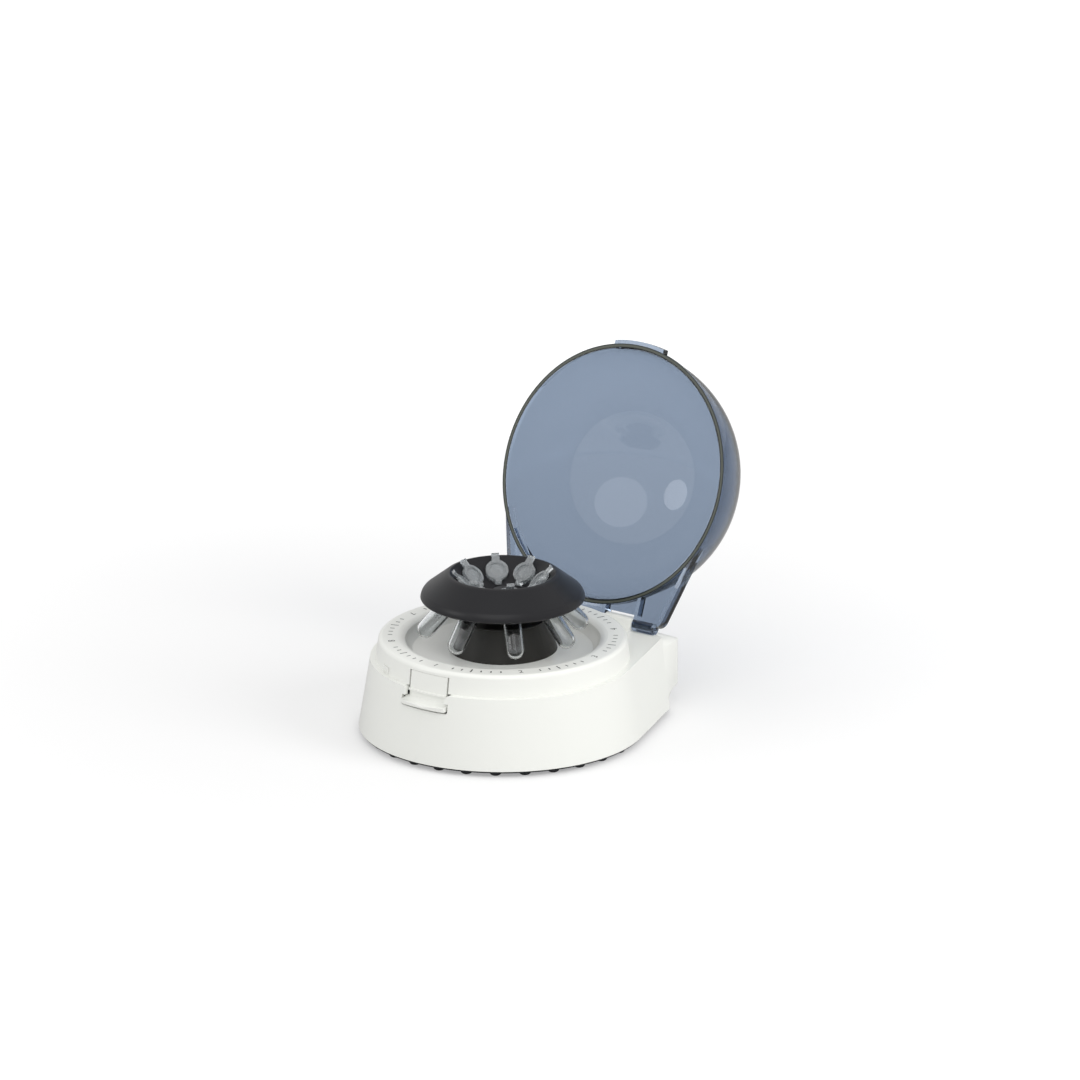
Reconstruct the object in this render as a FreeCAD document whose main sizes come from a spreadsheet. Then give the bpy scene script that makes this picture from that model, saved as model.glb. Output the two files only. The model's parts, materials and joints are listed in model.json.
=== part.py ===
import FreeCAD, Part
import math
import os
import Sketcher

# A palm centrifuge for eight small tubes, with its dome lid open.
# The rotor turns about Z through the origin, the floor is z = 0, the latch
# faces -Y and the lid hinge lies behind, along X. Millimetres and degrees.

doc = FreeCAD.newDocument("palm_centrifuge")

# ---------------------------------------------------------------- sizes
SIZES = {
    # lower housing, a tapered drum that runs back into a square heel
    "base_radius": 77.5,
    "side_draft": 6.3,
    "deck_height": 41.6,
    "side_angle": 16.5,
    "foot_clearance": 3.5,
    "foot_crease_setback": 21.3,
    "deck_crease_setback": 18.9,
    "back_depth": 92.5,
    "back_inset": 25.5,
    "back_low": 11.0,
    "back_high": 36.0,
    "heel_height": 5.5,
    "heel_setback": 8.5,
    "heel_inset": 2.0,
    "deck_setback": 12.3,
    "deck_inset": 7.0,
    "back_round": 4.0,
    "deck_slope_drop": 2.0,
    "housing_wall": 2.5,
    "deck_thickness": 2.5,
    "seat_gap": 0.4,
    # top cover, a ring with a shallow bowl
    "cover_inset": 3.0,
    "cover_draft": 1.3,
    "cover_height": 53.4,
    "cover_round": 2.5,
    "cover_wall": 2.2,
    "spigot_step": 2.4,
    "spigot_depth": 4.5,
    "ring_width": 11.8,
    "bowl_edge_inset": 4.0,
    "bowl_edge_drop": 1.5,
    "bowl_wall_run": 4.1,
    "bowl_floor_height": 46.5,
    "shaft_opening_radius": 9.0,
    # latch tongue, cut out of the front of the cover
    "tongue_half_width": 11.8,
    "slit_width": 1.0,
    "tongue_top": 50.2,
    "tongue_top_gap": 0.15,
    "tongue_bottom": 33.0,
    "thumb_half_width": 14.2,
    "thumb_inset": 2.5,
    "thumb_round": 0.9,
    "thumb_edge": 2.2,
    "thumb_crown": 1.8,
    "thumb_corner": 1.6,
    "thumb_root": 36.5,
    "catch_height": 39.6,
    "catch_thickness": 1.0,
    "catch_proud": 1.0,
    "notch_gap": 0.9,
    "notch_shelf_gap": 0.6,
    "notch_floor_gap": 1.2,
    "notch_round": 2.8,
    # lid switch button on the ring's wall
    "button_angle": 30.0,
    "button_width": 6.5,
    "button_height": 3.0,
    "button_proud": 0.25,
    "button_bottom": 42.2,
    "button_gap": 0.2,
    "button_length": 5.4,
    "switch_air": 0.5,
    "switch_depth": 5.8,
    "switch_width": 12.0,
    "switch_tall": 7.5,
    # floor plate and rubber mat
    "plate_thickness": 2.0,
    "plate_gap": 0.4,
    "mat_inset": 0.8,
    "mat_thickness": 1.0,
    "bump_radius": 3.4,
    "bump_round": 2.1,
    "bump_inset": 5.6,
    "bump_start_angle": 8.0,
    "bump_count": 29,
    "boss_radius": 3.6,
    "boss_inset": 7.5,
    "boss_angle": 38.0,
    "boss_top": 20.0,
    "rear_boss_setback": 26.5,
    "screw_radius": 1.3,
    "screw_head_radius": 2.6,
    "screw_head_height": 1.1,
    "screw_length": 10.0,
    "screw_gap": 0.02,
    # motor and its cone shaped pedestal
    "pedestal_foot_radius": 29.3,
    "pedestal_top_radius": 23.05,
    "pedestal_height": 17.7,
    "pedestal_wall": 2.0,
    "pedestal_bead": 0.4,
    "pedestal_opening": 5.0,
    "motor_radius": 18.0,
    "motor_length": 29.0,
    "motor_nose_radius": 6.0,
    "motor_nose_height": 3.0,
    "shaft_radius": 3.0,
    "shaft_running_gap": 0.05,
    "shaft_depth": 26.0,
    "bracket_radius": 29.0,
    "bracket_thickness": 2.0,
    "bracket_opening": 6.5,
    "damper_radius": 4.0,
    "damper_height": 5.3,
    "damper_ring_radius": 23.0,
    "damper_count": 3,
    "motor_screw_radius": 1.5,
    "motor_screw_head": 2.8,
    "motor_screw_head_height": 1.6,
    "motor_screw_bite": 1.6,
    # rotor
    "tube_count": 8,
    "tube_tilt": 42.0,
    "rotor_rim_radius": 44.1,
    "rotor_rim_drop": 3.9,
    "rotor_shoulder_inset": 1.8,
    "rotor_shoulder_rise": 15.0,
    "rotor_fold_inset": 12.9,
    "rotor_fold_rise": 8.6,
    "rotor_lip_inset": 2.8,
    "rotor_lip_rise": 1.1,
    "rotor_shell": 2.2,
    "hub_radius": 12.0,
    "hub_gap": 1.5,
    "seat_inset": 7.56,
    "sleeve_radius": 6.8,
    "sleeve_length": 14.0,
    "seat_recess_radius": 6.7,
    "seat_sink": 0.5,
    "clip_radius": 5.5,
    "clip_height": 5.5,
    "clip_grip": 2.5,
    # sample tubes and their caps
    "tube_radius": 5.3,
    "tube_end_radius": 4.9,
    "tube_length": 30.5,
    "tube_wall": 1.0,
    "tube_gap": 0.1,
    "flange_radius": 6.3,
    "flange_height": 1.2,
    "cap_radius": 6.1,
    "cap_height": 2.0,
    "cap_recess_radius": 4.2,
    "cap_recess_depth": 0.7,
    "plug_gap": 0.06,
    "plug_wall": 0.9,
    "plug_depth": 3.0,
    "cap_tab_reach": 9.9,
    "cap_tab_width": 4.2,
    "cap_tab_thickness": 1.1,
    "strap_reach": 7.9,
    "strap_width": 3.2,
    "strap_gap": 0.3,
    # lid
    "hinge_setback": 15.7,
    "hinge_height": 44.9,
    "lid_open_angle": 110.9,
    "lid_rest_gap": 0.2,
    "lid_rim_height": 3.0,
    "lid_rim_wall": 2.5,
    "lid_rim_slope": 1.6,
    "dome_step": 1.6,
    "dome_wall": 1.7,
    "dome_centre_rise": 0.7,
    "tail_plate_rise": 4.8,
    "tail_plate": 1.6,
    "tail_wall": 2.4,
    "tail_start": 30.0,
    "tail_inset": 1.5,
    "tail_corner": 5.5,
    "rib_thickness": 2.0,
    "mid_rib_across": 12.0,
    "tail_back_gap": 2.0,
    "block_inner": 14.4,
    "block_outer": 32.6,
    "block_round": 3.4,
    "block_foot": 6.4,
    "block_gap": 0.5,
    "knuckle_radius": 3.9,
    "knuckle_gap": 0.5,
    "pin_radius": 1.5,
    "pin_inner": 20.0,
    "pin_outer": 44.5,
    "pin_seat_gap": 0.02,
    "pin_running_gap": 0.05,
    "tab_half_width": 16.0,
    "tab_proud": 2.0,
    "tab_height": 4.6,
    "catch_pocket_half_width": 13.0,
    "catch_pocket_depth": 1.7,
    "catch_pocket_height": 2.6,
    # control board, behind the motor
    "board_width": 56.0,
    "board_depth": 30.0,
    "board_thickness": 1.6,
    "board_setback": 44.5,
    "board_post_height": 6.5,
    "board_post_radius": 2.6,
    "board_post_inset": 4.0,
    "capacitor_radius": 5.0,
    "capacitor_height": 12.0,
    "chip_width": 14.0,
    "chip_depth": 8.0,
    "chip_height": 3.0,
    # supply socket in the back wall
    "jack_across": 26.0,
    "jack_height": 27.0,
    "jack_width": 9.0,
    "jack_tall": 10.6,
    "jack_length": 13.0,
    "jack_nose_radius": 4.4,
    "jack_bore_radius": 2.75,
    "jack_bore_depth": 9.5,
    "jack_pin_radius": 1.0,
    "jack_gap": 0.2,
}


class Size:
    """A number together with the sheet expression that gives it."""

    def __init__(self, value, text):
        self.value = value
        self.text = text

    def __add__(self, other):
        other = as_size(other)
        return Size(self.value + other.value, f"({self.text} + {other.text})")

    def __sub__(self, other):
        other = as_size(other)
        return Size(self.value - other.value, f"({self.text} - {other.text})")

    def __mul__(self, other):
        other = as_size(other)
        return Size(self.value * other.value, f"({self.text} * {other.text})")

    def __truediv__(self, other):
        other = as_size(other)
        return Size(self.value / other.value, f"({self.text} / {other.text})")

    def __radd__(self, other):
        return as_size(other) + self

    def __rsub__(self, other):
        return as_size(other) - self

    def __rmul__(self, other):
        return as_size(other) * self

    def __neg__(self):
        return Size(-self.value, f"(0 - {self.text})")


def as_size(number):
    """A Size from a Size or a plain number."""
    if isinstance(number, Size):
        return number
    return Size(float(number), f"({float(number)!r})")


def cosine(angle):
    return Size(math.cos(math.radians(angle.value)), f"cos({angle.text})")


def sine(angle):
    return Size(math.sin(math.radians(angle.value)), f"sin({angle.text})")


def root(square):
    return Size(math.sqrt(square.value), f"sqrt({square.text})")


def leg(hypotenuse, other_leg):
    """The third side of a right triangle."""
    return root(hypotenuse * hypotenuse - other_leg * other_leg)


sheet = doc.addObject("Spreadsheet::Sheet", "Sizes")
for row, (alias, number) in enumerate(SIZES.items(), start=1):
    sheet.set(f"A{row}", alias)
    sheet.set(f"B{row}", str(number))
    sheet.setAlias(f"B{row}", alias)
doc.recompute()


class Named:
    """Every driving size as an attribute."""

    def __init__(self, names):
        for name in names:
            setattr(self, name, Size(float(sheet.get(name)), f"Sizes.{name}"))


s = Named(SIZES)

# sizes that keep their distance from a neighbour's
s.deck_radius = s.base_radius - s.side_draft
s.back_across = s.base_radius - s.back_inset
s.foot_crease_depth = s.back_depth - s.foot_crease_setback
s.deck_crease_depth = s.back_depth - s.deck_crease_setback
s.cover_radius = s.deck_radius - s.cover_inset
s.cover_top_radius = s.cover_radius - s.cover_draft
s.ring_inner_radius = s.cover_radius - s.ring_width
s.bowl_edge_radius = s.ring_inner_radius - s.bowl_edge_inset
s.bowl_floor_radius = s.bowl_edge_radius - s.bowl_wall_run
s.button_inner_radius = s.cover_radius - s.button_length
s.thumb_reach = s.base_radius - s.thumb_inset
s.bump_ring_radius = s.base_radius - s.bump_inset
s.boss_ring_radius = s.base_radius - s.boss_inset
s.dome_radius = s.deck_radius - s.dome_step
s.hinge_depth = s.back_depth - s.hinge_setback
s.board_front = s.back_depth - s.board_setback
s.rear_boss_depth = s.back_depth - s.rear_boss_setback
s.pedestal_top = s.bowl_floor_height + s.pedestal_height
s.rotor_shoulder_height = s.pedestal_top + s.rotor_shoulder_rise
s.rotor_rim_height = s.rotor_shoulder_height - s.rotor_rim_drop
s.rotor_fold_height = s.rotor_shoulder_height + s.rotor_fold_rise
s.rotor_lip_height = s.rotor_fold_height + s.rotor_lip_rise
s.rotor_shoulder_radius = s.rotor_rim_radius - s.rotor_shoulder_inset
s.rotor_fold_radius = s.rotor_rim_radius - s.rotor_fold_inset
s.rotor_lip_radius = s.rotor_fold_radius - s.rotor_lip_inset
s.seat_radius = s.rotor_lip_radius - s.seat_inset


# ---------------------------------------------------------------- tools
def bind(thing, path, size):
    """Tie one property of an object to the sheet."""
    thing.setExpression(path, as_size(size).text)


def point(x, y):
    return FreeCAD.Vector(as_size(x).value, as_size(y).value, 0)


def hold(sketch, kind, where, size):
    """Add a driving constraint whose value comes from the sheet."""
    index = sketch.addConstraint(Sketcher.Constraint(kind, *where, as_size(size).value))
    bind(sketch, f"Constraints[{index}]", size)


def draw_circle(sketch, x, y, radius):
    centre = point(x, y)
    up = FreeCAD.Vector(0, 0, 1)
    index = sketch.addGeometry(Part.Circle(centre, up, as_size(radius).value))
    hold(sketch, "DistanceX", (-1, 1, index, 3), x)
    hold(sketch, "DistanceY", (-1, 1, index, 3), y)
    hold(sketch, "Radius", (index,), radius)


def draw_outline(sketch, corners):
    """Draw a closed outline.

    A corner is (x, y), reached by a straight side, or (x, y, radius), reached
    by an arc that turns left, or right where the radius is given as negative.
    """
    previous = point(*corners[-1][:2])
    ends = []
    for corner in corners:
        here = point(*corner[:2])
        if len(corner) == 3:
            radius = as_size(corner[2])
            chord = here - previous
            half = chord.Length / 2
            rise = abs(radius.value) - math.sqrt(radius.value**2 - half**2)
            side = FreeCAD.Vector(chord.y, -chord.x, 0).normalize()
            bulge = (previous + here) * 0.5 + side * math.copysign(rise, radius.value)
            index = sketch.addGeometry(Part.Arc(previous, bulge, here))
            size = -radius if radius.value < 0 else radius
            hold(sketch, "Radius", (index,), size)
        else:
            index = sketch.addGeometry(Part.LineSegment(previous, here))
        starts_here = sketch.getPoint(index, 1).distanceToPoint(previous) < 1e-6
        ends.append((index, 1, 2) if starts_here else (index, 2, 1))
        previous = here
    for number, (index, first, last) in enumerate(ends):
        following = ends[(number + 1) % len(ends)]
        sketch.addConstraint(
            Sketcher.Constraint("Coincident", index, last, following[0], following[1])
        )
        hold(sketch, "DistanceX", (-1, 1, index, last), corners[number][0])
        hold(sketch, "DistanceY", (-1, 1, index, last), corners[number][1])


def box_corners(x_low, x_high, y_low, y_high):
    return [(x_low, y_low), (x_high, y_low), (x_high, y_high), (x_low, y_high)]


class Piece:
    """One piece: a PartDesign body and the steps that shape it."""

    made = []

    def __init__(self, label):
        self.body = doc.addObject("PartDesign::Body", label)
        self.body.Label = label
        self.body.AllowCompound = True
        Piece.made.append(self.body)

    def origin(self, role):
        return next(f for f in self.body.Origin.OriginFeatures if f.Role == role)

    def sketch(self, plane, *outlines, lift=None, pose=None):
        """A sketch on XY, XZ or YZ, moved along its normal or posed by an expression."""
        sketch = self.body.newObject("Sketcher::SketchObject", "Sketch")
        sketch.AttachmentSupport = [(self.origin(f"{plane}_Plane"), "")]
        sketch.MapMode = "FlatFace"
        if lift is not None:
            bind(sketch, "AttachmentOffset.Base.z", lift)
        if pose is not None:
            sketch.setExpression("AttachmentOffset", pose)
        for outline in outlines:
            if isinstance(outline, tuple):
                draw_circle(sketch, *outline)
            else:
                draw_outline(sketch, outline)
        return sketch

    def feature(self, kind, sketch=None):
        feature = self.body.newObject(f"PartDesign::{kind}", kind)
        if sketch is not None:
            feature.Profile = sketch
            sketch.Visibility = False
        return feature

    def volume(self):
        doc.recompute()
        return self.body.Shape.Volume

    def pad(self, sketch, length, back=False, both=False):
        pad = self.feature("Pad", sketch)
        bind(pad, "Length", length)
        pad.Reversed = back
        if both:
            pad.SideType = "Symmetric"
        return pad

    def cut(self, sketch, length, forward=False, both=False):
        """A pocket against the sketch's normal, or along it where forward is set."""
        before = self.volume()
        pocket = self.feature("Pocket", sketch)
        bind(pocket, "Length", length)
        pocket.Reversed = forward
        if both:
            pocket.SideType = "Symmetric"
        self.compare(before)
        return pocket

    def compare(self, before):
        if not self.volume() < before - 1e-3:
            raise ValueError(f"a cut in {self.body.Label} removes nothing")

    def revolve(self, sketch, kind="Revolution"):
        before = self.volume() if kind == "Groove" else None
        turned = self.feature(kind, sketch)
        turned.ReferenceAxis = (sketch, ["V_Axis"])
        turned.Angle = 360
        if before is not None:
            self.compare(before)
        return turned

    def loft(self, sketches, kind="AdditiveLoft"):
        before = self.volume() if kind == "SubtractiveLoft" else None
        loft = self.feature(kind, sketches[0])
        loft.Sections = sketches[1:]
        loft.Ruled = True
        if before is not None:
            self.compare(before)
        return loft

    def ring(self, feature, count):
        """Repeat a feature evenly round the body's Z axis."""
        pattern = self.feature("PolarPattern")
        pattern.Originals = [feature]
        pattern.Axis = (self.origin("Z_Axis"), [""])
        pattern.Angle = 360
        bind(pattern, "Occurrences", count)
        self.body.Tip = pattern
        return pattern

    def mirror(self, *features):
        """Repeat features across the YZ plane."""
        mirrored = self.feature("Mirrored")
        mirrored.Originals = list(features)
        mirrored.MirrorPlane = (self.origin("YZ_Plane"), [""])
        self.body.Tip = mirrored
        return mirrored

    def fillet(self, radius, chosen):
        """Round the edges whose middle passes a test."""
        doc.recompute()
        base = self.body.Tip
        names = []
        for number, edge in enumerate(base.Shape.Edges, start=1):
            middle = edge.valueAt((edge.FirstParameter + edge.LastParameter) / 2)
            if chosen(edge, middle):
                names.append(f"Edge{number}")
        if not names:
            raise ValueError(f"no edge to round in {self.body.Label}")
        fillet = self.feature("Fillet")
        fillet.Base = (base, names)
        bind(fillet, "Radius", radius)
        return fillet

    def place(self, x=0, y=0, z=0, yaw=0, pitch=0, roll=0):
        texts = [as_size(value).text for value in (x, y, z, yaw, pitch, roll)]
        self.body.setExpression("Placement", placement_text(*texts))


def placement_text(x, y, z, yaw, pitch, roll):
    return f"placement(vector({x}; {y}; {z}); rotation({yaw}; {pitch}; {roll}))"


# ---------------------------------------------------------------- housing
def plan_outline(radius, crease, across, depth, inset=0):
    """The drum's plan: a round front, straight sides to a crease, and a square back.

    The crease is a depth on the side walls, behind which they run to a back
    that is twice across wide and depth deep. Inset moves the whole plan inwards.
    """
    out = cosine(s.side_angle)
    back = sine(s.side_angle)
    radius = as_size(radius) - inset
    crease_y = as_size(crease) - as_size(inset) * back
    crease_x = (radius - crease_y * back) / out
    side = across - inset
    rear = depth - inset
    soft = s.back_round
    return [
        (0, -radius, radius),
        (radius * out, radius * back, radius),
        (crease_x, crease_y),
        (side, rear - soft),
        (side - soft, rear, soft),
        (soft - side, rear),
        (-side, rear - soft, soft),
        (-crease_x, crease_y),
        (-(radius * out), radius * back),
    ]


def foot_outline(inset):
    """The plan at the foot, moved inwards."""
    across = s.back_across - s.heel_inset
    depth = s.back_depth - s.heel_setback
    return plan_outline(s.base_radius, s.foot_crease_depth, across, depth, inset)


def wall_radius(height):
    """The drum's outer radius at a height."""
    slope = (s.base_radius - s.deck_radius) / (s.deck_height - s.foot_clearance)
    return s.base_radius - slope * (height - s.foot_clearance)


def crease_depth(height):
    """How deep the side walls' crease lies at a height."""
    lean = (s.deck_crease_depth - s.foot_crease_depth) / (s.deck_height - s.foot_clearance)
    return s.foot_crease_depth + lean * (height - s.foot_clearance)


def housing_sections(piece, levels, inset):
    """Sketches of the drum's plan at each level's height, back width and depth."""
    sections = []
    for height, across, depth in levels:
        outline = plan_outline(
            wall_radius(height), crease_depth(height), across, depth, inset
        )
        sections.append(piece.sketch("XY", outline, lift=height))
    return sections


def lower_housing():
    piece = Piece("lower_housing")
    heel = (s.back_across - s.heel_inset, s.back_depth - s.heel_setback)
    back = (s.back_across, s.back_depth)
    deck = (s.back_across - s.deck_inset, s.back_depth - s.deck_setback)
    outer = [
        (s.foot_clearance, *heel),
        (s.heel_height, *heel),
        (s.back_low, *back),
        (s.back_high, *back),
        (s.deck_height, *deck),
    ]
    inner = outer[:3] + [
        (s.back_high - s.deck_slope_drop, *back),
        (s.deck_height - s.deck_thickness, deck[0], deck[1] + s.housing_wall),
    ]
    piece.loft(housing_sections(piece, outer, 0))
    piece.loft(housing_sections(piece, inner, s.housing_wall), "SubtractiveLoft")
    hole = (0, 0, spigot_radius() + s.seat_gap)
    piece.cut(piece.sketch("XY", hole, lift=s.deck_height), s.deck_thickness * 2)
    # the front edge is scooped out round the latch tongue
    half = s.tongue_half_width + s.slit_width
    wide = s.thumb_half_width + s.notch_gap
    floor = s.tongue_bottom - s.notch_floor_gap
    shelf = s.thumb_root + s.notch_shelf_gap
    soft = s.notch_round
    low_soft = s.notch_floor_gap
    top = s.deck_height
    scoop = [
        (-half - soft, top + soft),
        (-half - soft, top),
        (-half, top - soft, -soft),
        (-half, shelf),
        (-wide, shelf),
        (-wide, floor + low_soft),
        (-wide + low_soft, floor, low_soft),
        (wide - low_soft, floor),
        (wide, floor + low_soft, low_soft),
        (wide, shelf),
        (half, shelf),
        (half, top - soft),
        (half + soft, top, -soft),
        (half + soft, top + soft),
    ]
    inside = s.deck_radius - s.housing_wall * 4
    front = piece.sketch("XZ", scoop, lift=inside)
    piece.cut(front, s.base_radius - inside, forward=True)
    # troughs in the deck let the lid's knuckles turn
    trough = (s.hinge_depth, s.hinge_height, s.knuckle_radius + s.knuckle_gap)
    troughs = piece.cut(
        piece.sketch("YZ", trough, lift=s.block_outer),
        knuckle_outer() + s.knuckle_gap - s.block_outer,
        forward=True,
    )
    piece.mirror(troughs)
    # hinge blocks stand on the deck and hold the pins
    step = s.block_round * sine(as_size(45))
    block = [
        (s.hinge_depth - s.block_foot, s.deck_height - s.deck_thickness / 2),
        (s.hinge_depth + s.block_round, s.deck_height - s.deck_thickness / 2),
        (s.hinge_depth + s.block_round, s.hinge_height),
        (s.hinge_depth, s.hinge_height + s.block_round, s.block_round),
        (s.hinge_depth - step, s.hinge_height + step, s.block_round),
        (s.hinge_depth - s.block_foot, s.deck_height),
    ]
    blocks = piece.pad(
        piece.sketch("YZ", block, lift=s.block_inner), s.block_outer - s.block_inner
    )
    piece.mirror(blocks)
    bore = (s.hinge_depth, s.hinge_height, s.pin_radius + s.pin_seat_gap)
    bores = piece.cut(
        piece.sketch("YZ", bore, lift=s.block_outer), s.block_outer - s.pin_inner
    )
    piece.mirror(bores)
    # bosses for the floor plate's screws
    low = plate_top()
    bosses = [(x, y, s.boss_radius) for x, y in screw_places()]
    piece.pad(piece.sketch("XY", *bosses, lift=low), s.boss_top - low)
    tapped = [(x, y, s.screw_radius + s.screw_gap) for x, y in screw_places()]
    piece.cut(
        piece.sketch("XY", *tapped, lift=low), s.screw_length, forward=True
    )
    # opening for the supply socket
    nose = (s.jack_across, s.jack_height, s.jack_nose_radius + s.jack_gap)
    piece.cut(
        piece.sketch("XZ", nose, lift=-s.back_depth), s.housing_wall * 2, forward=True
    )


def plate_top():
    return s.foot_clearance + s.plate_thickness


def spigot_radius():
    return s.cover_radius - s.spigot_step


def knuckle_outer():
    """Where the lid's knuckles end, at the start of the tail's round corner."""
    return tail_line_x(s.tail_inset, s.hinge_depth) - corner_run()


def corner_run():
    """How far the tail's round corner reaches along its edges."""
    return s.tail_corner * cosine(s.side_angle) / (1 + sine(s.side_angle))


def screw_places():
    """Plan positions of the four screws that hold the floor plate."""
    x = s.boss_ring_radius * sine(s.boss_angle)
    y = -(s.boss_ring_radius * cosine(s.boss_angle))
    rear_y = s.rear_boss_depth
    rear_x = (s.boss_ring_radius - rear_y * sine(s.side_angle)) / cosine(s.side_angle)
    return [(x, y), (-x, y), (rear_x, rear_y), (-rear_x, rear_y)]


# ---------------------------------------------------------------- top cover
def cover_wall_radius(height):
    """The ring's outer radius at a height."""
    rise = s.cover_height - s.cover_round - s.deck_height
    slope = (s.cover_radius - s.cover_top_radius) / rise
    return s.cover_radius - slope * (height - s.deck_height)


def top_cover():
    piece = Piece("top_cover")
    wall = s.cover_wall
    top = s.cover_height
    soft = s.cover_round
    edge_height = top - s.bowl_edge_drop
    floor = s.bowl_floor_height
    under = floor - wall
    spigot_low = s.deck_height - s.spigot_depth
    shoulder = top - soft
    profile = [
        (spigot_radius() - wall, spigot_low),
        (spigot_radius(), spigot_low),
        (spigot_radius(), s.deck_height),
        (s.cover_radius, s.deck_height),
        (s.cover_top_radius, shoulder),
        (s.cover_top_radius - soft, top, soft),
        (s.ring_inner_radius, top),
        (s.bowl_edge_radius, edge_height, s.cover_round * 3),
        (s.bowl_floor_radius, floor, -(s.cover_round * 4)),
        (s.shaft_opening_radius, floor),
        (s.shaft_opening_radius, under),
        (s.bowl_floor_radius, under),
        (s.bowl_edge_radius + wall, edge_height - wall, s.cover_round * 4),
        (s.ring_inner_radius, top - wall),
        (s.cover_top_radius - soft, top - wall),
        (s.cover_top_radius - wall, shoulder),
        (spigot_radius() - wall, s.deck_height),
    ]
    piece.revolve(piece.sketch("XZ", profile))
    # the latch tongue's slot
    half = s.tongue_half_width + s.slit_width
    slot = box_corners(-half, half, spigot_low - wall, s.tongue_top + s.tongue_top_gap)
    inside = s.cover_radius - s.cover_wall * 5
    piece.cut(piece.sketch("XZ", slot, lift=inside), s.base_radius - inside, forward=True)
    # the button's slot, square to the wall
    half = s.button_width / 2 + s.button_gap
    low = s.button_bottom - s.button_gap
    high = s.button_bottom + s.button_height + s.button_gap
    window = piece.sketch(
        "XZ", box_corners(-half, half, low, high), pose=turned_pose(inside)
    )
    piece.cut(window, s.base_radius - inside, forward=True)
    # blind holes for the motor screws
    hole = (0, -s.damper_ring_radius, s.motor_screw_radius + s.screw_gap)
    holes = piece.cut(
        piece.sketch("XY", hole, lift=under), s.motor_screw_bite, forward=True
    )
    piece.ring(holes, s.damper_count)


def turned_pose(distance):
    """The pose of an upright sketch at a distance from Z, facing the button's way."""
    x = -(distance * sine(s.button_angle))
    z = distance * cosine(s.button_angle)
    return placement_text(x.text, "0", z.text, "0", (-s.button_angle).text, "0")


def latch_tongue():
    piece = Piece("latch_tongue")
    wall = s.cover_wall
    face = cover_wall_radius(s.thumb_root)
    low = s.tongue_bottom
    edge = low + s.thumb_edge
    soft = s.thumb_round
    reach = s.thumb_reach
    catch_low = s.catch_height
    catch_high = catch_low + s.catch_thickness
    profile = [
        (face - wall, low),
        (reach - soft, low),
        (reach, low + soft, soft),
        (reach - soft, edge, soft),
        (face, s.thumb_root, -(reach - face)),
        (cover_wall_radius(catch_low), catch_low),
        (cover_wall_radius(catch_low) + s.catch_proud, catch_low),
        (cover_wall_radius(catch_high) + s.catch_proud, catch_high),
        (cover_wall_radius(catch_high), catch_high),
        (cover_wall_radius(s.tongue_top), s.tongue_top),
        (cover_wall_radius(s.tongue_top) - wall, s.tongue_top),
    ]
    piece.revolve(piece.sketch("XZ", profile))
    # all but the front is cut away: above the thumb ledge to the tongue's width
    half = s.tongue_half_width
    back = s.cover_radius - wall * 5
    around = s.base_radius * 1.5
    everything = box_corners(-around, around, -around, around)
    plan = box_corners(-half, half, -reach, -back)
    trim = piece.sketch("XY", everything, plan, lift=s.thumb_root)
    piece.cut(trim, s.cover_height, forward=True)
    # and below to a wider ledge with a crowned front edge and round corners
    wide = s.thumb_half_width
    corner = s.thumb_corner
    side = reach - s.thumb_crown
    near = wide - corner
    crown = (near * near + s.thumb_crown * s.thumb_crown) / (s.thumb_crown * 2)
    plan = [
        (-half, -back),
        (-half, wall - face),
        (-wide, wall - face),
        (-wide, corner - side),
        (-near, -side, corner),
        (0, -reach, crown),
        (near, -side, crown),
        (wide, corner - side, corner),
        (wide, wall - face),
        (half, wall - face),
        (half, -back),
    ]
    piece.cut(piece.sketch("XY", everything, plan), s.thumb_root, forward=True)


# ---------------------------------------------------------------- floor
def base_plate():
    piece = Piece("base_plate")
    inset = s.housing_wall + s.plate_gap
    outline = foot_outline(inset)
    piece.pad(piece.sketch("XY", outline, lift=s.foot_clearance), s.plate_thickness)
    posts = [(x, y, s.board_post_radius) for x, y in post_places()]
    piece.pad(piece.sketch("XY", *posts, lift=plate_top()), s.board_post_height)
    holes = [(x, y, s.screw_radius + s.screw_gap) for x, y in screw_places()]
    piece.cut(
        piece.sketch("XY", *holes, lift=s.foot_clearance), s.plate_thickness, forward=True
    )
    heads = [(x, y, s.screw_head_radius + s.plate_gap) for x, y in screw_places()]
    piece.cut(
        piece.sketch("XY", *heads, lift=s.foot_clearance), s.screw_head_height, forward=True
    )


def foot_mat():
    piece = Piece("foot_mat")
    under = s.foot_clearance - s.mat_thickness
    piece.pad(piece.sketch("XY", foot_outline(s.mat_inset), lift=under), s.mat_thickness)
    # round nosed bumps with a small flat to stand on
    bump = [
        (0, 0),
        (s.bump_radius - s.bump_round, 0),
        (s.bump_radius, s.bump_round, s.bump_round),
        (s.bump_radius, under),
        (0, under),
    ]
    x = s.bump_ring_radius * sine(s.bump_start_angle)
    forward = s.bump_ring_radius * cosine(s.bump_start_angle)
    pose = placement_text(x.text, "0", forward.text, "0", "0", "0")
    piece.ring(piece.revolve(piece.sketch("XZ", bump, pose=pose)), s.bump_count)


def base_screws():
    piece = Piece("base_screws")
    low = s.foot_clearance
    heads = [(x, y, s.screw_head_radius) for x, y in screw_places()]
    piece.pad(piece.sketch("XY", *heads, lift=low), s.screw_head_height)
    shanks = [(x, y, s.screw_radius) for x, y in screw_places()]
    piece.pad(piece.sketch("XY", *shanks, lift=low), s.screw_length + s.plate_thickness / 2)


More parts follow.
